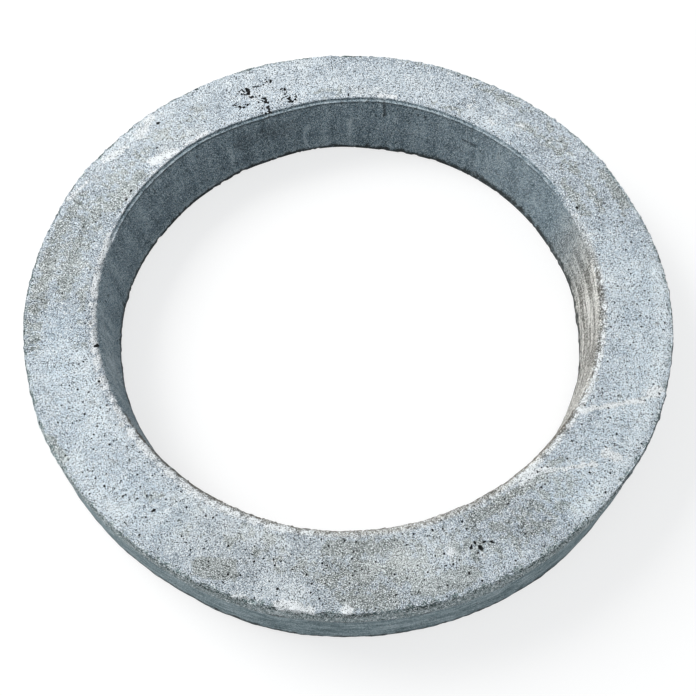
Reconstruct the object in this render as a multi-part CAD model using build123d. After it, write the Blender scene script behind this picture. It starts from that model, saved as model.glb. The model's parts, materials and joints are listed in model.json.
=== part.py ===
from build123d import *
import os

# A concrete adjusting ring for a manhole, cast in one piece in a steel form. It lies on its wide bed
# face with the opening upright, and carries the frame of the cover, or another ring, on its top face.
# Millimetres, +Z up, with the origin at the middle of the bed face.

# Ring
clear_opening = 610.0       # diameter of the throat, the narrowest part of the opening
bed_width = 101.5           # width of the bed face, from the throat to the outside
height = 95.0               # from the bed face to the top face

# Opening
throat_height = 8.0         # straight band at the foot of the opening, left by the form's base plate
inner_draft = 6.0           # how far the wall of the opening leans back above the throat
lip_width = 4.5             # bevel around the top of the opening, measured across the top face
lip_drop = 4.0              # the same bevel, measured down the wall of the opening

# Outside
outer_draft = 8.0           # how far the outer wall leans in from the bed face to the top face
top_edge_radius = 6.0       # worn edge between the top face and the outer wall
bed_edge_radius = 2.5       # edge between the bed face and the outer wall
throat_edge_radius = 1.5    # edge between the bed face and the throat

# Radii that the section is drawn from
throat_radius = clear_opening / 2
bed_radius = throat_radius + bed_width
top_outer_radius = bed_radius - outer_draft
top_inner_radius = throat_radius + inner_draft
lip_radius = top_inner_radius + lip_width

# Corners of the section, as radius and height
throat_foot = (throat_radius, 0)
bed_outside = (bed_radius, 0)
top_outside = (top_outer_radius, height)
lip_top = (lip_radius, height)
lip_foot = (top_inner_radius, height - lip_drop)
throat_top = (throat_radius, throat_height)


def round_corner(section, corner, radius):
    """Round the corner of the section that lies at the given radius and height."""
    vertex = section.vertices().sort_by_distance(corner)[0]
    fillet(vertex, radius)


# The section is turned once round the axis of the opening
with BuildPart() as ring:
    with BuildSketch(Plane.XZ) as section:
        with BuildLine():
            Polyline(throat_foot, bed_outside, top_outside, lip_top, lip_foot, throat_top, close=True)
        make_face()
        round_corner(section, top_outside, top_edge_radius)
        round_corner(section, bed_outside, bed_edge_radius)
        round_corner(section, throat_foot, throat_edge_radius)
    revolve(axis=Axis.Z)

os.makedirs("parts", exist_ok=True)
export_step(ring.part, "parts/adjusting_ring.step")
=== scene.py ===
import json
import math
import random

import bmesh
import bpy
import numpy as np
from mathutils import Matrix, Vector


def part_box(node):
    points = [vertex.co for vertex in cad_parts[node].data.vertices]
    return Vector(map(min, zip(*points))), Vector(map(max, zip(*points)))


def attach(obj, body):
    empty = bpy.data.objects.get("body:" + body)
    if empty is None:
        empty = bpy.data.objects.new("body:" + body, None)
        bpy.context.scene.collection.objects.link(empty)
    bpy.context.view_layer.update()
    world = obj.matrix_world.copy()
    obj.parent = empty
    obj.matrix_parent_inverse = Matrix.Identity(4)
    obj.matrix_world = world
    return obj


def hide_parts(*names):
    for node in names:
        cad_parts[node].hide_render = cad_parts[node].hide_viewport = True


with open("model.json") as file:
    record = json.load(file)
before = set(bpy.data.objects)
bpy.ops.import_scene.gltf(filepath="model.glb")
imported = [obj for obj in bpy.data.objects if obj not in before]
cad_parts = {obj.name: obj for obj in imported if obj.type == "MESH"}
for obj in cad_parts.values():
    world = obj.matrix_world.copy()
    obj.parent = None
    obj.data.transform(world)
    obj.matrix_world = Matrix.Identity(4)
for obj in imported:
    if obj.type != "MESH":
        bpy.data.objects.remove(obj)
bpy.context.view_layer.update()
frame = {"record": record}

# The cast body. Dense concrete, poured into a steel form with a drum inside and a hoop outside, and
# struck off level on top. Both walls lean so that the form draws off. The form was bent, so the ring
# isn't quite round, and the lip of its opening is worn.
clear_opening = next(m for m in frame["record"]["mounts"] if m["name"] == "clear_opening")
throat_radius = clear_opening["dims"]["r_mm"] / 1000
bed_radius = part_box("adjusting_ring")[1].x
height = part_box("adjusting_ring")[1].z
outer_draft = 0.008
inner_draft = 0.006
throat_height = 0.008
shoulder_height = 0.069
shoulder_step = 0.0020
shoulder_overhang = 0.0012
rim_width = 0.0045
riser_lean = 0.0013
riser_height = 0.0032
ledge_tilt = 0.0006
ledge_edge = 0.0014
top_edge_radius = 0.0035
bed_edge_radius = 0.0025
throat_edge_radius = 0.0015
turns = 840

top_outer_radius = bed_radius - outer_draft
top_inner_radius = throat_radius + inner_draft
middle_radius = (throat_radius + bed_radius) / 2
shoulder_radius = bed_radius - outer_draft * shoulder_height / height
rim_radius = top_inner_radius + rim_width
ledge_height = height - riser_height
undercut_height = ledge_height - ledge_tilt - ledge_edge
section = [
    (throat_radius, 0),
    (bed_radius, 0),
    (shoulder_radius - shoulder_overhang, shoulder_height - shoulder_step),
    (shoulder_radius, shoulder_height),
    (top_outer_radius, height),
    (rim_radius, height),
    (rim_radius - riser_lean, ledge_height),
    (top_inner_radius, ledge_height - ledge_tilt),
    (top_inner_radius + ledge_tilt / 2, undercut_height),
    (throat_radius, throat_height),
]
rounded_corners = [
    (section[0], throat_edge_radius, 2),
    (section[1], bed_edge_radius, 3),
    (section[4], top_edge_radius, 4),
]


def select_where(piece, test):
    """In edit mode, select the vertices whose distance from the axis and height pass the test."""
    bpy.ops.mesh.select_all(action="DESELECT")
    cage = bmesh.from_edit_mesh(piece.data)
    for vertex in cage.verts:
        vertex.select = test(math.hypot(vertex.co.x, vertex.co.y), vertex.co.z)
    cage.select_flush_mode()
    bmesh.update_edit_mesh(piece.data)


def near(corner, reach=1e-5):
    """A test for the vertices at one corner of the section."""
    return lambda radius, z: math.hypot(radius - corner[0], z - corner[1]) < reach


def within(nearest, farthest, lowest, highest):
    """A test for the vertices between two distances from the axis and two heights."""
    return lambda radius, z: nearest < radius < farthest and lowest < z < highest


bpy.ops.object.select_all(action="DESELECT")
bpy.ops.mesh.primitive_circle_add(vertices=len(section), radius=height / 2)
ring = bpy.context.object
ring.name = "cast_ring"
for vertex, (radius, z) in zip(ring.data.vertices, section):
    vertex.co = (radius, 0, z)
bpy.ops.object.mode_set(mode="EDIT")
bpy.ops.mesh.select_mode(type="VERT")
for corner, rounding, segments in rounded_corners:
    select_where(ring, near(corner))
    bpy.ops.mesh.bevel(offset=rounding, offset_type="OFFSET", segments=segments, affect="VERTICES")

# Each stretch of the section by nearest and farthest radius, lowest and highest z, and number of cuts
edge_band = 0.0001
beyond = 1.0
lip_front = rim_radius - riser_lean
stretches = [
    (0, beyond, height - edge_band, beyond, 25),
    (0, beyond, -beyond, edge_band, 3),
    (middle_radius, beyond, bed_edge_radius / 2, shoulder_height - edge_band, 8),
    (middle_radius, beyond, shoulder_height - edge_band, height - top_edge_radius / 2, 8),
    (lip_front - edge_band, rim_radius + edge_band, edge_band, beyond, 1),
    (0, middle_radius, undercut_height + edge_band, ledge_height + edge_band, 1),
    (0, middle_radius, throat_height - edge_band, undercut_height + edge_band, 14),
    (0, middle_radius, throat_edge_radius / 2, throat_height + edge_band, 2),
]
for nearest, farthest, lowest, highest, cuts in stretches:
    select_where(ring, within(nearest, farthest, lowest, highest))
    bpy.ops.mesh.subdivide(number_cuts=cuts)
bpy.ops.object.mode_set(mode="OBJECT")

merge_gap = 1e-6
turn = ring.modifiers.new("turn", "SCREW")
turn.axis = "Z"
turn.angle = math.tau
turn.steps = turns
turn.render_steps = turns
turn.use_merge_vertices = True
turn.merge_threshold = merge_gap
bpy.ops.object.modifier_apply(modifier="turn")
bpy.ops.object.mode_set(mode="EDIT")
bpy.ops.mesh.select_all(action="SELECT")
bpy.ops.mesh.remove_doubles(threshold=merge_gap)
bpy.ops.mesh.normals_make_consistent(inside=False)
bpy.ops.object.mode_set(mode="OBJECT")

# How far the form stood out of round, in metres, by degrees round from the right, towards the back
outer_top_bend = [
    (0, 0.0005), (10, -0.001), (22, -0.0025), (30, 0.001), (40, 0), (50, 0.001), (60, 0), (70, 0.003),
    (90, 0.003), (100, 0.005), (107, 0.0065), (115, 0.0055), (122, 0.004), (133, 0.0055), (143, 0.0025),
    (153, 0.005), (163, 0.001), (172, 0.0015), (185, 0.003), (198, 0), (207, 0.002), (225, -0.001),
    (235, -0.0005), (250, 0.001), (260, 0.0015), (285, 0.0005), (310, -0.0003), (330, 0.003), (337, 0.001),
    (350, 0.0015),
]
outer_bed_bend = [
    (0, 0), (90, 0), (180, 0), (215, 0.0005), (225, -0.001), (237, -0.003), (246, -0.0015), (252, 0),
    (260, 0.001), (288, 0.001), (300, 0.0005), (308, -0.0005), (316, -0.003), (330, 0),
]
inner_top_bend = [
    (0, -0.0015), (15, -0.001), (30, 0.0005), (60, 0.0005), (75, 0.0015), (79, 0.0025), (84, 0),
    (90, -0.0025), (96, -0.0035), (100, -0.0065), (105, -0.0085), (110, -0.009), (115, -0.0085),
    (120, -0.006), (125, -0.0035), (128, -0.001), (135, -0.0005), (160, 0), (170, -0.0015), (180, -0.0025),
    (190, -0.003), (222, -0.004), (235, -0.0035), (250, -0.003), (255, -0.001), (270, -0.0015),
    (310, -0.002), (330, -0.0015),
]
inner_bed_bend = [
    (0, 0), (10, 0.003), (20, 0.0005), (32, 0.002), (45, 0.0025), (62, 0.002), (75, -0.001), (82, -0.0015),
    (92, 0.002), (105, 0), (112, -0.0035), (117, -0.001), (125, -0.0035), (140, -0.003), (148, -0.005),
    (158, -0.0025), (175, -0.0025), (190, -0.0035), (205, -0.002), (230, -0.003), (250, -0.001), (270, 0),
    (300, -0.001), (330, 0.002), (342, 0.0035), (350, 0.0015),
]


def bend_at(degrees, bend, softness=3.0, step=0.5):
    """The offset at each angle, from the list's points, with the corners between them smoothed out."""
    grid = np.arange(0, 360, step)
    level = np.interp(grid, [a for a, _ in bend], [o for _, o in bend], period=360)
    reach = int(4 * softness / step)
    weight = np.exp(-((np.arange(-reach, reach + 1) * step / softness) ** 2) / 2)
    padded = np.concatenate([level[-reach:], level, level[:reach]])
    return np.interp(degrees, grid, np.convolve(padded, weight / weight.sum(), "valid"), period=360)


def wall_bends(degrees, z):
    """How far the form pushed the inner and the outer wall out, at each angle and height."""
    lift = np.clip(z / height, 0, 1)
    inner = bend_at(degrees, inner_bed_bend) * (1 - lift) + bend_at(degrees, inner_top_bend) * lift
    outer = bend_at(degrees, outer_bed_bend) * (1 - lift) + bend_at(degrees, outer_top_bend) * lift
    return inner, outer


def share_across(radius):
    """Zero at the throat, and one at the outer edge of the bed."""
    return np.clip((radius - throat_radius) / (bed_radius - throat_radius), 0, 1)


def places(piece):
    """Each vertex of a piece as angle in degrees, distance from the axis and height."""
    flat = np.empty(len(piece.data.vertices) * 3)
    piece.data.vertices.foreach_get("co", flat)
    x, y, z = flat.reshape(-1, 3).T
    return np.degrees(np.arctan2(y, x)) % 360, np.hypot(x, y), z


def put(piece, degrees, radius, z):
    """Move each vertex of a piece to the given angle, distance from the axis and height."""
    angle = np.radians(degrees)
    flat = np.stack([radius * np.cos(angle), radius * np.sin(angle), z], axis=1).ravel()
    piece.data.vertices.foreach_set("co", flat)
    piece.data.update()


def ramp(value, start, end):
    """Zero up to the start, one from the end on, and even in between."""
    return np.clip((value - start) / (end - start), 0, 1)


def roughen(piece, name, weights, grain, strength, middle=0.5, direction="NORMAL"):
    """Displace a piece by a cloud texture of the given grain, as far as each vertex's weight lets it."""
    group = piece.vertex_groups.new(name=name)
    steps = np.round(np.asarray(weights, dtype=float) * 10).astype(int)
    for step in range(1, 11):
        group.add(np.flatnonzero(steps == step).tolist(), step / 10, "REPLACE")
    cloud = bpy.data.textures.new(name, "CLOUDS")
    cloud.noise_scale = grain
    cloud.noise_depth = 2
    cloud.contrast = 1.6
    shift = piece.modifiers.new(name, "DISPLACE")
    shift.texture = cloud
    shift.texture_coords = "LOCAL"
    shift.vertex_group = name
    shift.mid_level = middle
    shift.strength = strength
    shift.direction = direction
    bpy.ops.object.modifier_apply(modifier=name)


inner_wall_share = 0.06
outer_wall_share = 0.9
shoulder_fade_below = 0.001
shoulder_fade_above = 0.003
foot_full_height = 0.001
foot_height = 0.007
rim_reach = 0.0004
ledge_reach = 0.003
lip_bottom = 0.088
edge_reach = top_edge_radius * 1.2
degrees, radius, z = places(ring)
inner, outer = wall_bends(degrees, z)
across = share_across(radius)
bent = np.minimum(radius + inner * (1 - across) + outer * across, bed_radius)
on_top = z > height - edge_band
on_inner_wall = (across < inner_wall_share) & (z > edge_band) & ~on_top
on_outer_wall = (across > outer_wall_share) & (z > edge_band) & ~on_top
shoulder_rise = ramp(z, shoulder_height - shoulder_fade_below, shoulder_height + shoulder_fade_above)
on_shoulder = on_outer_wall * shoulder_rise
on_low_wall = on_outer_wall * (1 - on_shoulder)
at_foot = (1 - ramp(z, foot_full_height, foot_height)) * (on_outer_wall | on_inner_wall)
on_rim = (np.abs(radius - rim_radius) < rim_reach) & on_top
on_ledge = (np.abs(radius - top_inner_radius) < ledge_reach) & (z > lip_bottom) & ~on_top
at_edge = np.hypot(radius - top_outer_radius, z - height) < edge_reach
put(ring, degrees, bent, z)

# Each roughness by where it lies, its lumps' size and reach, the level that stays put, and its direction
roughness = [
    ("top_swells", on_top, 0.045, 0.0010, 0.8, "NORMAL"),
    ("top_sand", on_top, 0.007, 0.0008, 0.9, "NORMAL"),
    ("wall_swells", on_inner_wall * ramp(z, 0.002, 0.012), 0.03, 0.0014, 0.5, "NORMAL"),
    ("wall_sand", on_inner_wall, 0.007, 0.0006, 0.5, "NORMAL"),
    ("low_wall_swells", on_low_wall, 0.03, 0.0012, 0.9, "NORMAL"),
    ("shoulder_lumps", on_shoulder, 0.008, 0.0021, 0.85, "NORMAL"),
    ("foot_bites", at_foot, 0.010, 0.0050, 0.35, "Z"),
    ("foot_dents", at_foot * np.where(on_outer_wall, 0.2, 0.7), 0.012, 0.0036, 0.9, "NORMAL"),
    ("rim_bites", on_rim | on_ledge, 0.008, 0.0022, 0.5, "NORMAL"),
    ("edge_bites", at_edge, 0.007, 0.0030, 0.9, "NORMAL"),
]
for name, where, grain, strength, middle, direction in roughness:
    roughen(ring, name, where, grain, strength, middle, direction)

# Where the lip is worn round: from and to which angle, and how many times it is smoothed there
worn_lips = [(166, 243, 16), (243, 300, 5), (300, 384, 10)]
worn_width = 0.007
worn_depth = 0.014
for start, end, passes in worn_lips:
    degrees, radius, z = places(ring)
    turned = (degrees - start) % 360 < end - start
    lip = turned & (radius < rim_radius + worn_width) & (z > height - worn_depth)
    bpy.ops.object.mode_set(mode="EDIT")
    bpy.ops.mesh.select_all(action="DESELECT")
    cage = bmesh.from_edit_mesh(ring.data)
    cage.verts.ensure_lookup_table()
    for index in np.flatnonzero(lip):
        cage.verts[index].select = True
    cage.select_flush_mode()
    bmesh.update_edit_mesh(ring.data)
    bpy.ops.mesh.vertices_smooth(factor=0.5, repeat=passes)
    bpy.ops.object.mode_set(mode="OBJECT")

# The lip crumbles where it doesn't step down, and most on the left: angles in degrees
step_start = (20, 30)
step_end = (160, 170)
most_crumbly_end = (245, 300)
crumbly_width = 0.002
crumbly_depth = 0.012
degrees, radius, z = places(ring)
crumbly = ramp(degrees, *step_end) * (1 - ramp(degrees, *most_crumbly_end)) * 0.6 + 0.4
crumbly = crumbly * (1 - ramp(radius, rim_radius + crumbly_width, rim_radius + worn_width))
crumbly = crumbly * (z > height - crumbly_depth)
crumbly = crumbly * np.maximum(ramp(degrees, *step_end), 1 - ramp(degrees, *step_start))
roughen(ring, "lip_crumbs", crumbly, 0.0035, 0.0030, 0.75)
degrees, radius, z = places(ring)
put(ring, degrees, np.minimum(radius, bed_radius), np.clip(z, 0, height))

# Damage and air holes. Knocks broke lumps out of the top and its edges, and bubbles in the poured
# concrete left round pores. All of them are dug out of the casting. The inside of the deep ones is
# raw concrete painted near black as painted shade, while the broad chips at the edges have weathered
# like the skin.
skin = bpy.data.materials.new("concrete_skin")
hollow_shade = bpy.data.materials.new("concrete_hollow_shade")
ring.data.materials.append(skin)

# Each by angle in degrees, radius, half length along the ring, half width, depth, and twist in degrees
gouges = [
    (112.7, 0.3535, 0.0022, 0.0026, 0.0040, 10), (112.1, 0.3590, 0.0016, 0.0024, 0.0030, 0),
    (109.5, 0.3345, 0.0014, 0.0030, 0.0030, 8), (103.4, 0.3205, 0.0016, 0.0028, 0.0026, 0),
    (133.6, 0.3775, 0.0024, 0.0030, 0.0040, 0), (151.7, 0.3240, 0.0019, 0.0017, 0.0030, 0),
    (154.3, 0.3220, 0.0020, 0.0018, 0.0030, 0), (138.3, 0.3445, 0.0013, 0.0013, 0.0024, 0),
    (101.1, 0.3770, 0.0012, 0.0012, 0.0020, 0), (98.3, 0.3465, 0.0018, 0.0012, 0.0022, 0),
    (88.6, 0.3200, 0.0013, 0.0032, 0.0040, 0), (88.2, 0.3310, 0.0009, 0.0026, 0.0020, 0),
    (86.0, 0.3360, 0.0013, 0.0013, 0.0022, 0), (19.9, 0.3220, 0.0021, 0.0021, 0.0030, 0),
    (194.5, 0.3118, 0.0030, 0.0050, 0.0070, 25), (203.6, 0.3195, 0.0021, 0.0019, 0.0030, 0),
    (223.4, 0.3730, 0.0017, 0.0016, 0.0026, 0), (219.8, 0.3727, 0.0016, 0.0011, 0.0022, 0),
    (226.6, 0.3730, 0.0012, 0.0012, 0.0022, 0), (227.0, 0.3660, 0.0012, 0.0017, 0.0024, 0),
    (233.0, 0.3565, 0.0018, 0.0034, 0.0028, -15), (217.5, 0.3410, 0.0014, 0.0014, 0.0024, 0),
    (258.0, 0.3790, 0.0018, 0.0016, 0.0026, 0), (264.7, 0.3830, 0.0015, 0.0014, 0.0024, 0),
    (292.0, 0.3590, 0.0024, 0.0036, 0.0040, 15), (291.2, 0.3625, 0.0016, 0.0014, 0.0030, 0),
    (293.0, 0.3550, 0.0022, 0.0014, 0.0030, 20), (291.5, 0.3520, 0.0014, 0.0028, 0.0026, 0),
    (290.6, 0.3545, 0.0012, 0.0034, 0.0030, -40), (294.2, 0.3585, 0.0012, 0.0034, 0.0030, 50),
    (239.9, 0.3625, 0.0012, 0.0012, 0.0022, 0), (315.0, 0.3895, 0.0016, 0.0014, 0.0026, 0),
    (220.0, 0.3275, 0.0012, 0.0012, 0.0022, 0), (64.5, 0.3900, 0.0015, 0.0015, 0.0026, 0),
    (42.9, 0.3680, 0.0011, 0.0011, 0.0020, 0), (32.0, 0.3465, 0.0013, 0.0011, 0.0020, 0),
    (108.6, 0.3142, 0.0012, 0.0012, 0.0022, 0), (109.2, 0.3205, 0.0011, 0.0011, 0.0020, 0),
    (106.9, 0.3214, 0.0013, 0.0012, 0.0024, 0), (113.4, 0.3880, 0.0018, 0.0010, 0.0020, 0),
    (118.8, 0.3267, 0.0012, 0.0012, 0.0022, 0), (117.4, 0.3210, 0.0010, 0.0011, 0.0020, 0),
    (117.9, 0.3150, 0.0010, 0.0010, 0.0020, 0), (113.6, 0.3560, 0.0012, 0.0010, 0.0018, 0),
]
edge_chips = [
    (100.8, 0.4010, 0.0055, 0.0030, 0.0032, 0), (110.8, 0.4020, 0.0028, 0.0026, 0.0026, 0),
    (43.3, 0.3970, 0.0034, 0.0030, 0.0028, 0), (64.0, 0.3975, 0.0034, 0.0032, 0.0030, 0),
    (85.5, 0.4000, 0.0026, 0.0026, 0.0024, 0), (253.8, 0.3985, 0.0110, 0.0050, 0.0060, 5),
    (251.2, 0.3990, 0.0060, 0.0040, 0.0040, -5), (79.15, 0.3185, 0.0024, 0.0042, 0.0056, 0),
]

# Each broken scratch by the angles and radii that it passes, and its half width
scratches = [
    ([(117.4, 0.3427), (116.6, 0.3391), (115.9, 0.3347)], 0.0008),
    ([(115.9, 0.3347), (115.0, 0.3321), (114.3, 0.3320), (113.7, 0.3331), (113.0, 0.3349)], 0.0011),
    ([(113.4, 0.3573), (113.0, 0.3530), (112.5, 0.3539), (112.0, 0.3568), (112.1, 0.3607),
      (112.5, 0.3644)], 0.0011),
    ([(112.6, 0.3455), (111.8, 0.3423), (111.1, 0.3436), (110.4, 0.3429)], 0.0009),
    ([(111.0, 0.3616), (110.1, 0.3603), (109.2, 0.3601), (108.5, 0.3616)], 0.0008),
    ([(107.7, 0.3649), (106.9, 0.3623), (106.8, 0.3683)], 0.0009),
    ([(110.1, 0.3360), (109.7, 0.3371), (109.5, 0.3335), (109.3, 0.3291), (109.2, 0.3271),
      (110.0, 0.3285)], 0.0009),
    ([(110.5, 0.3132), (110.8, 0.3087), (110.3, 0.3060), (109.6, 0.3082), (109.9, 0.3128)], 0.0009),
    ([(106.6, 0.3266), (105.5, 0.3255), (104.8, 0.3304), (104.0, 0.3362), (103.9, 0.3421),
      (104.1, 0.3465)], 0.0008),
    ([(104.3, 0.3196), (103.9, 0.3244), (103.5, 0.3212), (103.2, 0.3173), (102.8, 0.3173),
      (102.2, 0.3204)], 0.0010),
    ([(102.2, 0.3204), (101.8, 0.3248)], 0.0008),
    ([(115.4, 0.3581), (114.4, 0.3625), (113.4, 0.3640)], 0.0007),
]
scratch_step_share = 0.8
scratch_gap_share = 0.45
scratch_stray_degrees = 0.17
scratch_stray = 0.0010
scratch_sink = 0.0006
scratch_twist = 40

# Each crumbled spot by its angle, its radius and how many crumbs fell out
crumbled = [
    (112.6, 0.3540, 14), (110.1, 0.3180, 12), (103.6, 0.3230, 10), (109.8, 0.3340, 6), (107.2, 0.3655, 8),
    (104.3, 0.3420, 4),
]
crumb_smallest = 0.0008
crumb_largest = 0.0014
crumb_stray_degrees = 0.75
crumb_stray = 0.0040
crumb_sink = 0.0004
pit_depth_share = 2.4
gouge_grain = 0.0007
gouge_raggedness = 0.0009
chip_grain = 0.0012
chip_raggedness = 0.0020
broken_lump = 0.003


def start_tool(name):
    """An empty piece in edit mode, to hold the balls that are cut away."""
    bpy.ops.object.select_all(action="DESELECT")
    shape = bpy.data.meshes.new(name)
    tool = bpy.data.objects.new(name, shape)
    bpy.context.scene.collection.objects.link(tool)
    bpy.context.view_layer.objects.active = tool
    tool.select_set(True)
    bpy.ops.object.mode_set(mode="EDIT")
    return tool


def dig(angle, radius, z, half_sizes, twist, detail):
    """In edit mode of a tool, add a ball, squashed to the half sizes and twisted about the vertical."""
    place = (radius * math.cos(math.radians(angle)), radius * math.sin(math.radians(angle)), z)
    bpy.ops.mesh.primitive_ico_sphere_add(
        subdivisions=detail,
        radius=1,
        location=place,
        rotation=(0, 0, math.radians(angle + twist)),
        scale=half_sizes,
    )


def cut_away(piece, tool, inside, grain=0.0, raggedness=0.0):
    """Take a tool's shape out of a piece, melted to one ragged lump first where it has a grain."""
    bpy.ops.object.mode_set(mode="OBJECT")
    tool.data.materials.append(inside)
    if grain:
        melt = tool.modifiers.new("melt", "REMESH")
        melt.mode = "VOXEL"
        melt.voxel_size = grain
        bpy.ops.object.modifier_apply(modifier="melt")
        roughen(tool, "broken", np.ones(len(tool.data.vertices)), broken_lump, raggedness)
    bpy.ops.object.select_all(action="DESELECT")
    bpy.context.view_layer.objects.active = piece
    piece.select_set(True)
    cut = piece.modifiers.new(tool.name, "BOOLEAN")
    cut.operation = "DIFFERENCE"
    cut.solver = "MANIFOLD"
    cut.object = tool
    cut.material_mode = "TRANSFER"
    bpy.ops.object.modifier_apply(modifier=tool.name)
    bpy.data.objects.remove(tool)


chance = random.Random(7)
crumbs = random.Random(3)
chisel = start_tool("chisel")
for angle, radius, along, through, depth, twist in gouges:
    dig(angle, radius, height, (through, along, depth), twist, 3)
for points, width in scratches:
    for (from_angle, from_radius), (to_angle, to_radius) in zip(points, points[1:]):
        length = math.hypot(to_radius - from_radius, math.radians(to_angle - from_angle) * to_radius)
        steps = max(2, round(length / (width * scratch_step_share)))
        for step in range(steps + 1):
            if chance.random() < scratch_gap_share:
                continue
            share = step / steps
            angle = from_angle + (to_angle - from_angle) * share + chance.gauss(0, scratch_stray_degrees)
            radius = from_radius + (to_radius - from_radius) * share + chance.gauss(0, scratch_stray)
            half = width * chance.uniform(0.7, 1.7)
            sizes = (half, half * chance.uniform(0.7, 1.4), half * pit_depth_share)
            dig(angle, radius, height - scratch_sink, sizes, scratch_twist, 2)
for middle, radius, count in crumbled:
    for _ in range(count):
        angle = middle + crumbs.gauss(0, crumb_stray_degrees)
        half = crumbs.uniform(crumb_smallest, crumb_largest)
        sizes = (half, half * crumbs.uniform(0.7, 1.9), half * pit_depth_share)
        place = radius + crumbs.gauss(0, crumb_stray)
        dig(angle, place, height - crumb_sink, sizes, crumbs.uniform(0, 180), 2)
cut_away(ring, chisel, hollow_shade, gouge_grain, gouge_raggedness)

hammer = start_tool("hammer")
for angle, radius, along, through, depth, twist in edge_chips:
    dig(angle, radius, height, (through, along, depth), twist, 3)
cut_away(ring, hammer, skin, chip_grain, chip_raggedness)

# Air holes in the top: from and to which angle, and how many at most
pore_fields = [
    (205, 245, 90), (245, 275, 55), (275, 310, 60), (310, 360, 110), (0, 45, 95), (45, 90, 22),
    (90, 160, 18), (160, 205, 60),
]
pore_smallest = 0.0009
pore_largest = 0.0015
pore_sink = 0.0004
pore_depth_share = 2.6
pore_margin = 0.004
taken = []
bubbles = start_tool("bubbles")
for start, end, count in pore_fields:
    for _ in range(count):
        angle = chance.uniform(start, end)
        radius = chance.uniform(rim_radius + pore_margin, top_outer_radius - pore_margin)
        size = pore_smallest + (pore_largest - pore_smallest) * chance.random() ** 1.6
        x = radius * math.cos(math.radians(angle))
        y = radius * math.sin(math.radians(angle))
        if any(math.hypot(x - a, y - b) < 2 * (size + c) for a, b, c in taken):
            continue
        taken.append((x, y, size))
        sizes = (size, size * chance.uniform(0.8, 1.3), size * pore_depth_share)
        dig(angle, radius, height - pore_sink, sizes, chance.uniform(0, 90), 1)
cut_away(ring, bubbles, hollow_shade)

# Bites in both feet: from and to which angle, how many, the edge that they lie on and that edge's bend
bite_overhang = 0.0003
bite_sink = 0.0004
bite_smallest = 0.0014
bite_range = 0.0036
foot_bites = [
    (192, 348, 90, bed_radius + bite_overhang, outer_bed_bend),
    (-25, 205, 100, throat_radius - bite_overhang, inner_bed_bend),
]
nibbles = start_tool("nibbles")
for start, end, count, edge, bend in foot_bites:
    for bite in range(count):
        angle = start + (end - start) * (bite + chance.uniform(-0.3, 0.3)) / count
        place = edge + float(bend_at(np.array([angle % 360]), bend)[0])
        size = bite_smallest + bite_range * chance.random() ** 2
        sizes = (size * 0.8, size * chance.uniform(0.9, 1.7), size * chance.uniform(0.7, 1.2))
        dig(angle, place, -bite_sink, sizes, 0, 2)
cut_away(ring, nibbles, hollow_shade)

# The skin of the concrete. The struck top is pale and sandy, chalky where it was scraped and brown
# where it is stained. The walls are dense slate grey from the form, with dirt and painted shade at their
# feet, and the lip on the sunny side is tan, with painted sunlight. Painted light and shade also lie along
# the lip's step, under the lip, under the shoulder and on the outer top edge, and pores are painted black.
degrees, radius, z = places(ring)
x = radius * np.cos(np.radians(degrees))
y = radius * np.sin(np.radians(degrees))
inner, outer = wall_bends(degrees, z)
plain_radius = radius
for _ in range(3):
    across = share_across(plain_radius)
    plain_radius = radius - inner * (1 - across) - outer * across
inner_face_margin = 0.0002
inner_face_drop = 0.0010
outer_rim_width = 0.009
outer_face_drop = 0.0012
outer_brush_drop = 0.0045
inner_brush_drop = 0.012
on_outer_half = radius > middle_radius
inner_face = (plain_radius < rim_radius - inner_face_margin) & (z < height - inner_face_drop)
outer_rim = plain_radius > top_outer_radius - outer_rim_width
outer_face = outer_rim & (z < height - outer_face_drop)
top_and_edges = z > height - np.where(on_outer_half, outer_brush_drop, inner_brush_drop)


def brushed(along, up, spots, width):
    """How much each vertex is under a brush of a half width, drawn through spots on a surface."""
    if len(spots) == 1:
        spots = spots * 2
    nearest = np.full(len(along), 1.0)
    for (ax, ay), (bx, by) in zip(spots, spots[1:]):
        long = (bx - ax) ** 2 + (by - ay) ** 2
        share = np.clip(((along - ax) * (bx - ax) + (up - ay) * (by - ay)) / max(long, 1e-12), 0, 1)
        gap = np.hypot(along - ax - share * (bx - ax), up - ay - share * (by - ay))
        nearest = np.minimum(nearest, gap)
    return np.clip(1.25 - nearest / width, 0, 1)


def top_stroke(points, width):
    """A brush stroke on the top and its edges, through points of angle and radius."""
    spots = [(r * math.cos(math.radians(a)), r * math.sin(math.radians(a))) for a, r in points]
    return brushed(x, y, spots, width) * top_and_edges


def wall_stroke(points, width):
    """A brush stroke on the inner wall, through points of angle and height."""
    spots = [(math.radians(a) * throat_radius, h) for a, h in points]
    return brushed(np.radians(degrees) * throat_radius, z, spots, width) * inner_face


def painted(strokes, stroke):
    """The strongest of a list of strokes at each vertex."""
    paint = np.zeros(len(x))
    for points, width, strength in strokes:
        paint = np.maximum(paint, strength * stroke(points, width))
    return paint


def arc(start, end, radius, step=2.0):
    """Points along the ring at one radius."""
    count = max(2, int((end - start) / step) + 1)
    return [(start + (end - start) * i / (count - 1), radius) for i in range(count)]


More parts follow.
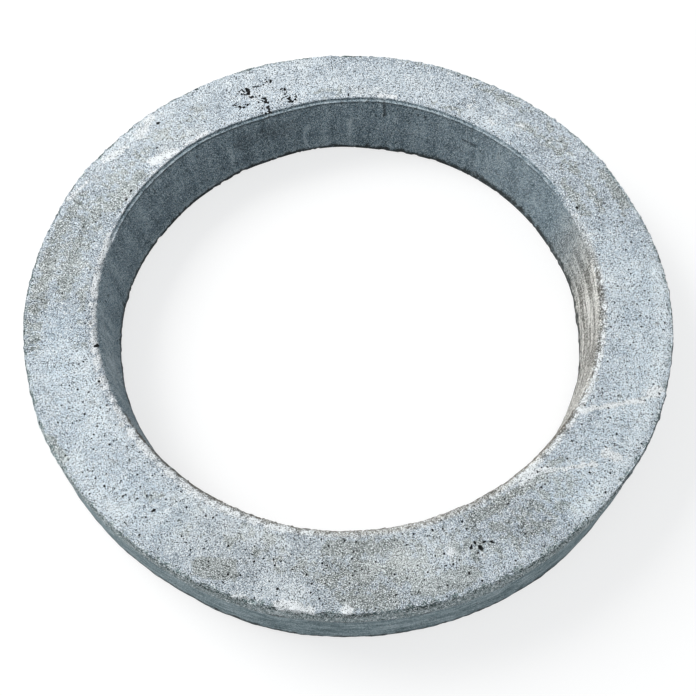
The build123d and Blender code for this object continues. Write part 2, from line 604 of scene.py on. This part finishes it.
# Each stroke by the angles and radii that it passes, its half width and its strength
chalk_strokes = [
    ([(134, 0.392), (138, 0.380)], 0.011, 0.95), ([(143, 0.378), (147.5, 0.388)], 0.008, 0.85),
    ([(154, 0.388), (158.6, 0.393)], 0.006, 0.75), ([(136.5, 0.320), (142, 0.331)], 0.009, 1.2),
    (arc(127, 133, 0.318), 0.006, 0.8), (arc(133, 170, 0.3165), 0.004, 0.55),
    (arc(166, 180, 0.316), 0.006, 0.9), (arc(180, 235, 0.3145), 0.008, 0.68),
    ([(196.0, 0.3190), (195.2, 0.3160)], 0.0026, 1.2), (arc(235, 262, 0.3165), 0.006, 0.78),
    (arc(262, 300, 0.3165), 0.005, 0.40), ([(258.5, 0.393), (263.6, 0.397)], 0.007, 1.15),
    ([(269, 0.395)], 0.008, 1.15), ([(252, 0.396), (254, 0.398)], 0.006, 0.8),
    ([(286.8, 0.351)], 0.006, 1.1), ([(291.8, 0.366)], 0.005, 0.75), ([(51.5, 0.334)], 0.008, 0.7),
    ([(50.2, 0.354)], 0.008, 0.7), ([(46, 0.352)], 0.007, 0.65), ([(58.6, 0.343)], 0.008, 0.65),
    ([(305, 0.322), (310, 0.324), (313, 0.3395), (318, 0.362)], 0.004, 0.95),
    ([(102, 0.325), (113, 0.346)], 0.018, 0.30), ([(112.6, 0.354)], 0.006, 0.55),
    ([(110.2, 0.3185)], 0.006, 0.6), ([(103.6, 0.3225)], 0.005, 0.55), ([(107.2, 0.366)], 0.005, 0.45),
    ([(326, 0.3195), (333.6, 0.3745)], 0.0042, 1.15), ([(333.6, 0.3745), (336.8, 0.3895)], 0.007, 1.0),
    ([(321, 0.364), (321.6, 0.380)], 0.009, 0.85), (arc(305, 310, 0.316), 0.004, 0.95),
    (arc(-18, 22, 0.3168), 0.004, 0.50), (arc(302, 345, 0.3168), 0.004, 0.68),
    ([(76.5, 0.322), (80.5, 0.321)], 0.005, 0.95),
]
stain_strokes = [
    ([(245.5, 0.380), (249.5, 0.376)], 0.013, 1.3), ([(231, 0.347)], 0.014, 0.6),
    ([(210.5, 0.397), (214.5, 0.391)], 0.009, 1.25), ([(215.5, 0.3995)], 0.007, 1.0),
    ([(197.5, 0.396)], 0.008, 0.8), (arc(180, 192, 0.388), 0.014, 0.7),
    (arc(179, 186, 0.325), 0.012, 0.55), (arc(151, 179, 0.350), 0.034, 0.62),
    ([(174, 0.385), (177, 0.378)], 0.010, 0.8), ([(171, 0.350)], 0.010, 0.8),
    (arc(125, 150, 0.356), 0.030, 0.42), (arc(90, 96, 0.320), 0.010, 0.5),
    (arc(262, 268, 0.350), 0.034, 0.50), (arc(268, 279, 0.356), 0.044, 0.72),
    (arc(287, 311, 0.356), 0.042, 0.54), (arc(270, 276, 0.386), 0.014, 0.9), ([(292, 0.358)], 0.014, 0.9),
    (arc(293, 300, 0.328), 0.010, 0.95), (arc(302, 309, 0.327), 0.009, 0.9),
    (arc(300, 309, 0.368), 0.018, 0.65), (arc(280, 289, 0.378), 0.014, 0.95),
    (arc(18, 25, 0.385), 0.014, 0.85), (arc(11, 17, 0.372), 0.012, 0.4),
    ([(43, 0.384), (36, 0.360), (28, 0.332)], 0.008, 0.6), (arc(18, 26, 0.328), 0.010, 0.8),
    ([(38, 0.380), (33, 0.366)], 0.010, 0.55), (arc(62, 76, 0.394), 0.007, 0.55),
    (arc(147, 157, 0.330), 0.013, 1.0), (arc(158, 182, 0.380), 0.016, 0.75),
    (arc(47, 60, 0.382), 0.011, 0.65), (arc(18, 46, 0.355), 0.012, 0.65),
    (arc(266, 278, 0.330), 0.012, 0.95), (arc(168, 180, 0.352), 0.012, 0.9),
    (arc(90, 97, 0.328), 0.010, 0.6), (arc(128, 150, 0.352), 0.012, 0.55),
    (arc(249, 256, 0.330), 0.012, 0.6), (arc(280, 288, 0.384), 0.010, 0.7),
    (arc(308, 314, 0.330), 0.012, 0.6), (arc(188, 194, 0.330), 0.012, 0.5),
    (arc(60, 66, 0.328), 0.010, 0.5), ([(334, 0.321)], 0.007, 0.6), (arc(238, 262, 0.345), 0.020, 0.4),
]
pale_strokes = [
    (arc(190, 243, 0.352), 0.030, 0.7), (arc(214, 229, 0.358), 0.022, 1.0),
    (arc(312, 362, 0.352), 0.040, 0.9), (arc(316, 361, 0.360), 0.034, 1.4),
    (arc(310, 361, 0.382), 0.018, 1.9), (arc(345, 361, 0.330), 0.014, 1.5),
    (arc(280, 286, 0.356), 0.026, 0.9), (arc(238, 257, 0.330), 0.014, 1.4),
    (arc(197, 212, 0.335), 0.020, 2.0), (arc(198, 213, 0.355), 0.036, 1.3),
    (arc(216, 230, 0.380), 0.016, 1.8), (arc(213, 238, 0.328), 0.012, 1.1),
    (arc(76, 90, 0.350), 0.036, 0.7), (arc(95, 128, 0.386), 0.015, 1.1),
    (arc(98, 117, 0.330), 0.016, 1.2), (arc(128, 149, 0.386), 0.015, 1.3),
    (arc(49, 58, 0.330), 0.013, 1.3), (arc(66, 82, 0.330), 0.013, 0.7),
    (arc(335, 360, 0.372), 0.024, 1.0), (arc(0, 8, 0.350), 0.036, 0.5), (arc(97, 150, 0.350), 0.036, 0.6),
    (arc(44, 52, 0.355), 0.026, 0.5), (arc(274, 281, 0.352), 0.012, 0.8),
    (arc(256, 261, 0.380), 0.014, 0.8), (arc(205, 212, 0.340), 0.020, 0.5),
    (arc(66, 78, 0.345), 0.020, 0.4),
]
blue_strokes = [
    (arc(0, 9, 0.355), 0.044, 0.7), (arc(190, 236, 0.356), 0.042, 0.9),
    (arc(310, 360, 0.362), 0.042, 0.95), (arc(98, 118, 0.330), 0.016, 0.5),
    (arc(36, 52, 0.326), 0.012, 0.5),
]
warm_strokes = [
    (arc(240, 276, 0.352), 0.046, 0.75), (arc(128, 138, 0.330), 0.014, 0.8),
    (arc(299, 309, 0.326), 0.014, 0.8), (arc(80, 88, 0.325), 0.014, 0.7),
    (arc(172, 186, 0.386), 0.014, 0.6),
]

# The same on the inner wall, by angles and heights
wall_light_strokes = [
    ([(100.2, 0.050), (101, 0.030), (100.4, 0.006)], 0.0035, 0.8),
    ([(122.5, 0.060), (122.3, 0.010)], 0.003, 0.7), ([(129, 0.060), (128.5, 0.012)], 0.003, 0.5),
    ([(134.5, 0.058), (134.2, 0.02)], 0.003, 0.5), ([(142, 0.05), (141.8, 0.015)], 0.003, 0.4),
    ([(88.5, 0.055), (88.4, 0.01)], 0.004, 0.5), ([(123, 0.016), (134, 0.017)], 0.003, 0.6),
    ([(191.4, 0.082), (197.0, 0.006)], 0.0022, 0.50), ([(189.0, 0.082), (191.7, 0.016)], 0.0022, 0.35),
    ([(193.0, 0.082), (201.6, 0.004)], 0.0022, 0.45), ([(198.0, 0.080), (206.5, 0.020)], 0.0022, 0.40),
    ([(184.5, 0.080), (186.0, 0.030)], 0.0022, 0.30),
]
wall_dark_strokes = [
    ([(79.1, 0.090), (79.0, 0.066)], 0.004, 0.7), ([(105, 0.06), (119, 0.06)], 0.030, 0.45),
    ([(70, 0.079)], 0.003, 0.9), ([(68, 0.079)], 0.003, 0.8), ([(57, 0.062), (53, 0.062)], 0.002, 0.7),
    ([(132, 0.073)], 0.003, 0.9), ([(142, 0.065)], 0.003, 0.9), ([(162, 0.065)], 0.003, 0.9),
    ([(147, 0.078), (147, 0.07)], 0.002, 0.8), ([(178, 0.062)], 0.003, 0.8),
]


def away_from(angle):
    """Each vertex's angle from one direction, either way round."""
    return np.abs((degrees - angle + 180) % 360 - 180)


def band(middle, half, fullness=1.0):
    """A level band on the walls, full at its middle height and gone beyond its half width."""
    return np.clip(fullness - np.abs(z - middle) / half, 0, 1)


# The inner wall: its lip steps down only at the back, and its layers show most in front and on the right.
# Along the step, the ledge that faces up gets a painted highlight, and the riser above it and the undercut
# below it get painted shade, a little weaker on the right.
stepped = ramp(degrees, *step_start) * (1 - ramp(degrees, *step_end))
layered_front = 0.15 + 0.85 * ramp(degrees, 295, 310)
laminated = np.where(degrees > 90, layered_front, 0.15 + 0.85 * (1 - ramp(degrees, 0, 16)))
throat_line_height = 0.0095
throat_line_half = 0.0042
throat_line = band(throat_line_height, throat_line_half, 1.3) * inner_face
throat_line = throat_line * (0.35 + 0.65 * ramp(degrees, 85, 105) * (1 - ramp(degrees, 160, 180)))
ledge_highlight = band(ledge_height - ledge_tilt / 2, 0.0011) * stepped * (plain_radius < lip_front - 0.0006)
riser_shade = band(height - riser_height * 0.6, 0.0014, 1.6) * stepped
riser_shade = riser_shade * (np.abs(plain_radius - rim_radius + riser_lean / 2) < riser_lean * 0.9)
undercut_shadow = stepped * band(undercut_height, 0.0016) * (plain_radius < rim_radius - 0.002)
shallow = 0.75 + 0.25 * ramp(degrees, 60, 95)
# Light marks and the throat line, with the ledge's painted highlight; dark marks and pores, with the
# painted shade of the riser and the undercut
wall_light_and_highlight = np.maximum(painted(wall_light_strokes, wall_stroke), 0.9 * throat_line)
wall_light_and_highlight = np.maximum(wall_light_and_highlight, 0.7 * ledge_highlight)
wall_dark_and_shade = painted(wall_dark_strokes, wall_stroke)
wall_dark_and_shade = np.maximum(wall_dark_and_shade, shallow * np.maximum(0.52 * riser_shade, 0.72 * undercut_shadow))
wall_tones = [
    (0, 0.04), (30, 0.12), (60, 0.13), (90, 0.13), (112, 0.06), (150, 0.08), (172, 0.15), (190, 0.27),
    (260, 0.27),
]
wall_tone_and_shade = np.interp(degrees, [a for a, _ in wall_tones], [t for _, t in wall_tones])
# The wall darkens towards its foot: painted shade, and dirt
wall_tone_and_shade = wall_tone_and_shade - 0.10 * (1 - ramp(z, 0.004, 0.050))

# The lip and the inner wall below it on the sunny side: tan, painted light and warm as painted
# sunlight, with dirt and painted shade under the lip
sunny = np.where(degrees > 180, 1 - ramp(360 - degrees, 115, 150), 1 - ramp(degrees, 2, 24))
tan_and_sunlight = sunny * (1 - ramp(plain_radius, rim_radius + 0.001, rim_radius + 0.006))
flat = np.empty(len(x) * 3)
ring.data.vertices.foreach_get("normal", flat)
facing_up = flat.reshape(-1, 3)[:, 2]
# Under the lip, where the surface no longer faces up: dirt and painted shade
under_lip = ramp(degrees, 200, 220) * (1 - ramp(degrees, 320, 338)) * (1 - ramp(facing_up, 0.60, 0.86))
under_lip = under_lip * (plain_radius < rim_radius + 0.003) * ramp(z, height - 0.014, height - 0.009)

# The outer wall: smooth from the hoop below, rough above the shoulder, and a painted shadow under the
# shoulder's overhang between them
hoop_top = (0.062, 0.068)
band_bottom = (0.064, 0.069)
shoulder_top = 0.08
over_edge = outer_rim * ramp(height - z, 0.0002, 0.0030)
# Painted shade on the rounded outer top edge, full on the right and weaker at the back and left
edge_shade = np.maximum(1 - ramp(away_from(-8), 32, 45), 0.75 * ramp(degrees, 80, 95) * (degrees < 200))
edge_shade = edge_shade * ramp(plain_radius, top_outer_radius - 0.0032, top_outer_radius - 0.0012)
edge_shade = edge_shade * (z > shoulder_top)

# Dirt and painted contact shadow at both feet, higher inside on the right and on the left
dirt_and_shade_reach = 0.012
outer_dirt_and_shade_top = 0.0100
inner_dirt_and_shade_top = 0.0070
more_dirt_and_shade_right = 0.0050
more_dirt_and_shade_left = 0.0045
near_edge = np.minimum(np.abs(plain_radius - throat_radius), np.abs(plain_radius - bed_radius)) < dirt_and_shade_reach
inner_dirt_and_shade = inner_dirt_and_shade_top + more_dirt_and_shade_right * (1 - ramp(away_from(15), 30, 65))
dirt_and_shade_top = np.where(on_outer_half, outer_dirt_and_shade_top, inner_dirt_and_shade)
dirt_and_shade_top = dirt_and_shade_top + more_dirt_and_shade_left * (1 - ramp(np.abs(degrees - 200), 20, 40)) * ~on_outer_half

marks = {
    "chalk": painted(chalk_strokes, top_stroke),
    "stain": painted(stain_strokes, top_stroke),
    "pale": painted(pale_strokes, top_stroke),
    "blue": painted(blue_strokes, top_stroke),
    "warm": painted(warm_strokes, top_stroke),
    "formed": inner_face * (1 - ramp(z, height - 0.0066, height - 0.0042) * (1 - stepped)),
    "laminated": laminated,
    "wall_light_and_highlight": wall_light_and_highlight,
    "wall_dark_and_shade": wall_dark_and_shade,
    "wall_tone_and_shade": wall_tone_and_shade,
    "tan_and_sunlight": tan_and_sunlight,
    "under_lip": under_lip,
    "hooped": outer_face * (1 - ramp(z, *hoop_top)),
    "rough_band": over_edge * ramp(z, *band_bottom),
    "under_edge_shade": band(height - 0.0065, 0.0045, 1.2) * outer_rim,
    "shoulder_shadow": outer_face * band(shoulder_height - shoulder_step, 0.004),
    "edge_shade": edge_shade,
    "foot_dirt_and_shade": (1 - ramp(z / dirt_and_shade_top, 0.7, 1.6)) * near_edge,
}
for name, values in marks.items():
    layer = ring.data.attributes.new(name, "FLOAT", "POINT")
    layer.data.foreach_set("value", np.ascontiguousarray(values, dtype=np.float32))


class Mix:
    """Places and joins the nodes of one material."""

    def __init__(self, material):
        material.use_nodes = True
        self.tree = material.node_tree
        self.shader = self.tree.nodes["Principled BSDF"]
        self.coords = self.tree.nodes.new("ShaderNodeTexCoord").outputs["Object"]

    def join(self, value, socket):
        if isinstance(value, bpy.types.NodeSocket):
            self.tree.links.new(value, socket)
        else:
            socket.default_value = value

    def mark(self, name):
        node = self.tree.nodes.new("ShaderNodeAttribute")
        node.attribute_name = name
        return node.outputs["Fac"]

    def stretched(self, scale):
        node = self.tree.nodes.new("ShaderNodeMapping")
        node.inputs["Scale"].default_value = scale
        self.join(self.coords, node.inputs["Vector"])
        return node.outputs["Vector"]

    def noise(self, scale, detail=3.0, rough=0.55, vector=None):
        node = self.tree.nodes.new("ShaderNodeTexNoise")
        self.join(vector or self.coords, node.inputs["Vector"])
        self.join(scale, node.inputs["Scale"])
        node.inputs["Detail"].default_value = detail
        node.inputs["Roughness"].default_value = rough
        return node.outputs["Fac"]

    def cells(self, scale):
        node = self.tree.nodes.new("ShaderNodeTexVoronoi")
        self.join(self.coords, node.inputs["Vector"])
        node.inputs["Scale"].default_value = scale
        return node.outputs["Distance"], node.outputs["Color"]

    def math(self, operation, a, b=0.0, c=0.0):
        node = self.tree.nodes.new("ShaderNodeMath")
        node.operation = operation
        for value, socket in zip((a, b, c), node.inputs):
            self.join(value, socket)
        return node.outputs["Value"]

    def times(self, value, amount):
        return self.math("MULTIPLY", value, amount)

    def add(self, level, value, amount):
        """A level with so much of a value added."""
        return self.math("MULTIPLY_ADD", value, amount, level)

    def swing(self, level, noise, amount):
        """A level that goes up and down with a noise, by so much."""
        return self.add(level, self.math("SUBTRACT", noise, 0.5), amount)

    def between(self, value, start, end):
        node = self.tree.nodes.new("ShaderNodeMapRange")
        node.interpolation_type = "SMOOTHSTEP"
        self.join(value, node.inputs["Value"])
        node.inputs["From Min"].default_value = start
        node.inputs["From Max"].default_value = end
        return node.outputs["Result"]

    def shades(self, value, stops):
        node = self.tree.nodes.new("ShaderNodeValToRGB")
        self.join(value, node.inputs["Fac"])
        scale = node.color_ramp
        while len(scale.elements) < len(stops):
            scale.elements.new(0.5)
        for element, (place, colour) in zip(scale.elements, stops):
            element.position = place
            element.color = (*colour, 1)
        return node.outputs["Color"]

    def over(self, share, under, upper, blend="MIX"):
        node = self.tree.nodes.new("ShaderNodeMix")
        node.data_type = "RGBA"
        node.blend_type = blend
        self.join(share, node.inputs["Factor"])
        for value, name in ((under, "A"), (upper, "B")):
            socket = [s for s in node.inputs if s.name == name and s.type == "RGBA"][0]
            self.join(value if isinstance(value, bpy.types.NodeSocket) else (*value, 1), socket)
        return [s for s in node.outputs if s.type == "RGBA"][0]


# Sand grains, finer and stronger towards the front, and the lumps, streaks and layers around them
coat = Mix(skin)
patches = coat.noise(11, 3)
mottle = coat.noise(42, 4)
clouds = coat.noise(95, 3, 0.6)
blotches = coat.noise(170, 3)
rubble = coat.noise(300, 2, 0.6, coat.stretched((1, 1, 0.45)))
streaks = coat.noise(70, 3, 0.6, coat.stretched((1, 1, 0.10)))
layers = coat.between(coat.noise(240, 2, 0.6, coat.stretched((0.06, 0.06, 1))), 0.30, 0.70)
courses = coat.between(coat.noise(210, 3, 0.65, coat.stretched((0.16, 0.16, 1))), 0.32, 0.68)
dots, dot_colour = coat.cells(210)
directions = coat.tree.nodes.new("ShaderNodeSeparateXYZ")
coat.join(coat.coords, directions.inputs["Vector"])
towards_back = directions.outputs["Y"]
strength = coat.add(0.90, towards_back, -0.4)
light_grains = coat.noise(coat.add(770, towards_back, -340), 0.8, 0.5)
dark_grains = coat.noise(coat.add(850, towards_back, -340), 0.8, 0.5)
light_sand = coat.times(coat.between(light_grains, 0.54, 0.60), strength)
dark_sand = coat.times(coat.between(dark_grains, 0.455, 0.395), strength)
sand = coat.math("SUBTRACT", light_sand, dark_sand)

# The struck top, clean or stained, with pinholes painted near black as the shade in them
level = coat.swing(0.52, patches, 0.5)
level = coat.swing(level, mottle, 0.7)
level = coat.swing(level, blotches, 0.4)
level = coat.add(level, light_sand, 1.9)
level = coat.add(level, dark_sand, -1.75)
level = coat.add(level, coat.mark("pale"), 0.20)
struck = coat.shades(level, [
    (0.0, (0.030, 0.036, 0.042)),
    (0.26, (0.235, 0.281, 0.324)),
    (0.54, (0.52, 0.597, 0.672)),
    (1.0, (0.90, 0.965, 1.0)),
])
stained = coat.shades(level, [
    (0.0, (0.026, 0.028, 0.026)),
    (0.30, (0.172, 0.192, 0.188)),
    (0.58, (0.335, 0.378, 0.382)),
    (1.0, (0.86, 0.92, 0.93)),
])
stain_edge = coat.swing(coat.mark("stain"), mottle, 1.3)
stain_edge = coat.swing(stain_edge, clouds, 1.8)
stain_edge = coat.swing(stain_edge, blotches, 0.7)
colour = coat.over(coat.between(stain_edge, 0.38, 0.68), struck, stained)
colour = coat.over(coat.mark("warm"), colour, (1.0, 0.975, 0.945), "MULTIPLY")
colour = coat.over(coat.mark("blue"), colour, (0.94, 0.975, 1.0), "MULTIPLY")
# Pinholes: painted near black, as painted shade in place of their hollows
rarity = coat.add(dot_colour, coat.mark("blue"), 0.30)
pinholes = coat.times(coat.between(dots, 0.20, 0.15), coat.between(rarity, 0.58, 0.62))
colour = coat.over(coat.times(pinholes, 0.95), colour, (0.02, 0.022, 0.024))

# The inner wall, slate grey with marks of the drum, painted light and shade along the lip's step, and
# painted shade and dirt towards its foot
lines = coat.times(coat.math("SUBTRACT", layers, 0.5), coat.mark("laminated"))
wall_level = coat.swing(coat.mark("wall_tone_and_shade"), streaks, 0.8)
wall_level = coat.math("ADD", wall_level, 0.5)
wall_level = coat.add(wall_level, lines, 0.6)
wall_level = coat.swing(wall_level, mottle, 0.45)
wall_level = coat.swing(wall_level, blotches, 0.35)
wall_level = coat.add(wall_level, light_sand, 0.62)
wall_level = coat.add(wall_level, dark_sand, -0.80)
# Light marks, with the painted highlight on the ledge
wall_level = coat.add(wall_level, coat.mark("wall_light_and_highlight"), 0.45)
cast = coat.shades(wall_level, [
    (0.10, (0.042, 0.060, 0.064)),
    (0.45, (0.138, 0.192, 0.231)),
    (0.70, (0.235, 0.315, 0.368)),
    (1.0, (0.56, 0.64, 0.68)),
])
# Dark marks and pores, with the painted shade of the riser and the undercut
darkness = coat.swing(coat.mark("wall_dark_and_shade"), blotches, 0.9)
cast = coat.over(coat.between(darkness, 0.2, 0.9), cast, (0.035, 0.045, 0.05))
# Tiny pits in the wall, painted near black as painted shade
wall_pits = coat.times(coat.between(dots, 0.24, 0.17), coat.between(dot_colour, 0.69, 0.72))
cast = coat.over(coat.times(wall_pits, 0.8), cast, (0.02, 0.025, 0.028))
colour = coat.over(coat.mark("formed"), colour, cast)

# The outer wall, paler and in level courses, and above it a painted shadow under the shoulder, a rough
# band with painted shade just under the top edge, and painted shade on the rounded top edge
hoop_level = coat.swing(0.51, courses, 0.46)
hoop_level = coat.swing(hoop_level, blotches, 0.5)
hoop_level = coat.add(hoop_level, sand, 0.36)
hoop_level = coat.swing(hoop_level, mottle, 0.6)
hoop = coat.shades(hoop_level, [
    (0.10, (0.08, 0.112, 0.12)),
    (0.45, (0.25, 0.335, 0.365)),
    (0.70, (0.36, 0.455, 0.49)),
    (1.0, (0.70, 0.78, 0.81)),
])
colour = coat.over(coat.mark("hooped"), colour, hoop)
band_level = coat.swing(level, courses, 0.3)
band_level = coat.add(band_level, coat.between(rubble, 0.56, 0.66), 0.75)
band_level = coat.add(band_level, coat.between(rubble, 0.45, 0.36), -0.35)
# Painted shade just under the outer top edge
band_level = coat.add(band_level, coat.mark("under_edge_shade"), -0.26)
rough_band = coat.shades(band_level, [
    (0.10, (0.040, 0.060, 0.056)),
    (0.42, (0.20, 0.275, 0.285)),
    (0.72, (0.36, 0.455, 0.475)),
    (1.0, (0.86, 0.92, 0.94)),
])
band_edge = coat.swing(coat.mark("rough_band"), clouds, 1.3)
band_edge = coat.swing(band_edge, blotches, 1.3)
band_edge = coat.add(band_edge, sand, -0.3)
colour = coat.over(coat.between(band_edge, 0.44, 0.56), colour, rough_band)
# Painted shadow under the shoulder's overhang
shoulder_shadow_edge = coat.swing(coat.mark("shoulder_shadow"), mottle, 2.2)
colour = coat.over(coat.times(coat.between(shoulder_shadow_edge, 0.35, 0.8), 0.8), colour, (0.05, 0.065, 0.062))
# Painted shade on the rounded outer top edge
edge_share = coat.swing(coat.mark("edge_shade"), clouds, 1.6)
colour = coat.over(coat.times(coat.between(edge_share, 0.3, 0.9), 0.85), colour, (0.075, 0.095, 0.105))

# The tan lip with its painted sunlight, and the dirt and painted shade under it
tan_and_sunlight_level = coat.add(coat.math("SUBTRACT", level, 0.13), lines, 1.6)
tan_and_sunlight_level = coat.swing(tan_and_sunlight_level, rubble, 2.0)
tanned_and_sunlit = coat.shades(tan_and_sunlight_level, [
    (0.1, (0.105, 0.100, 0.086)),
    (0.5, (0.385, 0.380, 0.350)),
    (0.95, (0.90, 0.885, 0.845)),
])
colour = coat.over(coat.times(coat.mark("tan_and_sunlight"), 0.95), colour, tanned_and_sunlit)
lip_dirt_and_shade = coat.swing(coat.mark("under_lip"), clouds, 1.5)
colour = coat.over(coat.times(coat.between(lip_dirt_and_shade, 0.35, 0.8), 0.85), colour, (0.11, 0.095, 0.075))

# Chalk over all of it but the smooth walls, and dirt with painted contact shadow at the feet last
chalk_edge = coat.swing(coat.mark("chalk"), blotches, 1.6)
chalk_edge = coat.add(chalk_edge, sand, 0.7)
chalk_edge = coat.swing(chalk_edge, clouds, 1.2)
chalk_edge = coat.swing(chalk_edge, mottle, 1.0)
smooth_share = coat.math("MAXIMUM", coat.mark("formed"), coat.mark("hooped"))
chalk_share = coat.times(coat.between(chalk_edge, 0.47, 0.66), coat.math("SUBTRACT", 1.0, smooth_share))
colour = coat.over(chalk_share, colour, (0.93, 0.965, 0.985))
# Dirt and painted contact shadow at the feet
dirt_and_shade_edge = coat.swing(coat.mark("foot_dirt_and_shade"), blotches, 1.6)
dirt_and_shade_edge = coat.swing(dirt_and_shade_edge, clouds, 2.2)
colour = coat.over(coat.times(coat.between(dirt_and_shade_edge, 0.25, 1.0), 0.92), colour, (0.030, 0.036, 0.036))
coat.join(colour, coat.shader.inputs["Base Color"])
coat.shader.inputs["Roughness"].default_value = 0.92
coat.shader.inputs["Specular IOR Level"].default_value = 0.25
relief = coat.tree.nodes.new("ShaderNodeBump")
relief.inputs["Distance"].default_value = 0.0010
relief.inputs["Strength"].default_value = 0.7
bumps = coat.add(coat.add(blotches, sand, 0.12), pinholes, -0.5)
coat.join(bumps, relief.inputs["Height"])
coat.join(relief.outputs["Normal"], coat.shader.inputs["Normal"])

# The inside of pores, gouges and bites: raw concrete, painted near black as painted shade
raw_and_shade = Mix(hollow_shade)
raw_and_shade_colour = raw_and_shade.shades(raw_and_shade.noise(500, 2), [
    (0.2, (0.006, 0.007, 0.008)),
    (0.8, (0.030, 0.034, 0.036)),
])
raw_and_shade.join(raw_and_shade_colour, raw_and_shade.shader.inputs["Base Color"])
raw_and_shade.shader.inputs["Roughness"].default_value = 0.95

bpy.ops.object.select_all(action="DESELECT")
ring.select_set(True)
bpy.context.view_layer.objects.active = ring
bpy.ops.object.shade_smooth_by_angle(angle=math.radians(40))
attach(ring, "root")
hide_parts("adjusting_ring")

# The floor: a plain white board, wide enough to fill the picture. Where the eye sees it, it glows a
# little and so stays white, and it still takes the ring's shadow. To the ring it is a pale grey board.
floor_size = 12
board_glow = 0.70
board_tone_seen = 0.36
board_tone_unseen = 0.6


def seen_directly(tree):
    """One where the eye meets a surface itself, in a gloss or through glass, and zero elsewhere."""
    path = tree.nodes.new("ShaderNodeLightPath")
    seen = path.outputs["Is Camera Ray"]
    for name in ("Is Glossy Ray", "Is Transmission Ray"):
        either = tree.nodes.new("ShaderNodeMath")
        either.operation = "MAXIMUM"
        tree.links.new(seen, either.inputs[0])
        tree.links.new(path.outputs[name], either.inputs[1])
        seen = either.outputs["Value"]
    return seen


bpy.ops.object.select_all(action="DESELECT")
bpy.ops.mesh.primitive_plane_add(size=floor_size)
floor = bpy.context.object
floor.name = "floor"
board = bpy.data.materials.new("white_board")
board.use_nodes = True
board_tree = board.node_tree
board_shader = board_tree.nodes["Principled BSDF"]
board_shader.inputs["Roughness"].default_value = 1
board_shader.inputs["Specular IOR Level"].default_value = 0
board_shader.inputs["Emission Color"].default_value = (1, 1, 1, 1)
board_seen = seen_directly(board_tree)
glow = board_tree.nodes.new("ShaderNodeMath")
glow.operation = "MULTIPLY"
glow.inputs[1].default_value = board_glow
board_tree.links.new(board_seen, glow.inputs[0])
board_tree.links.new(glow.outputs["Value"], board_shader.inputs["Emission Strength"])
tone = board_tree.nodes.new("ShaderNodeMapRange")
tone.inputs["To Min"].default_value = board_tone_unseen
tone.inputs["To Max"].default_value = board_tone_seen
board_tree.links.new(board_seen, tone.inputs["Value"])
board_tree.links.new(tone.outputs["Result"], board_shader.inputs["Base Color"])
floor.data.materials.append(board)

# The light: one broad soft lamp high on the back left, and a pale sky all round that fills the
# shadows. Where the eye looks past the floor, it meets a white backdrop instead of the sky.
lamp_turn = math.radians(150)
lamp_height = math.radians(42)
lamp_distance = 5.0
lamp_power = 190
lamp_size = 2.4
lamp_colour = (1.0, 0.99, 0.975)
sky_colour = (0.93, 0.97, 1.0, 1)
sky_strength = 0.5

lamp_data = bpy.data.lights.new("key", "AREA")
lamp_data.energy = lamp_power
lamp_data.size = lamp_size
lamp_data.color = lamp_colour
lamp = bpy.data.objects.new("key", lamp_data)
lamp.location = (
    lamp_distance * math.cos(lamp_height) * math.cos(lamp_turn),
    lamp_distance * math.cos(lamp_height) * math.sin(lamp_turn),
    lamp_distance * math.sin(lamp_height),
)
lamp.rotation_euler = (math.pi / 2 - lamp_height, 0, lamp_turn + math.pi / 2)
bpy.context.scene.collection.objects.link(lamp)

world = bpy.data.worlds.new("sky")
world.use_nodes = True
world_tree = world.node_tree
sky = world_tree.nodes["Background"]
sky.inputs["Color"].default_value = sky_colour
sky.inputs["Strength"].default_value = sky_strength
backdrop = world_tree.nodes.new("ShaderNodeBackground")
backdrop.inputs["Color"].default_value = (1, 1, 1, 1)
sky_or_backdrop = world_tree.nodes.new("ShaderNodeMixShader")
world_tree.links.new(seen_directly(world_tree), sky_or_backdrop.inputs["Fac"])
world_tree.links.new(sky.outputs["Background"], sky_or_backdrop.inputs[1])
world_tree.links.new(backdrop.outputs["Background"], sky_or_backdrop.inputs[2])
world_tree.links.new(sky_or_backdrop.outputs["Shader"], world_tree.nodes["World Output"].inputs["Surface"])
bpy.context.scene.world = world

# The camera: it stands in front of the ring, about a metre up, and looks steeply down into the
# opening, rolled a little to one side.
camera_lens = 42.397
camera_place = (0, -0.55293, 0.95529)
camera_tilt = math.radians(28.2181)
camera_roll = math.radians(0.6218)
camera_turn = math.radians(-1.0885)
camera_data = bpy.data.cameras.new("camera")
camera_data.lens = camera_lens
camera = bpy.data.objects.new("camera", camera_data)
camera.location = camera_place
camera.rotation_euler = (camera_tilt, camera_roll, camera_turn)
bpy.context.scene.collection.objects.link(camera)
bpy.context.scene.camera = camera
bpy.context.scene.view_settings.view_transform = "Standard"
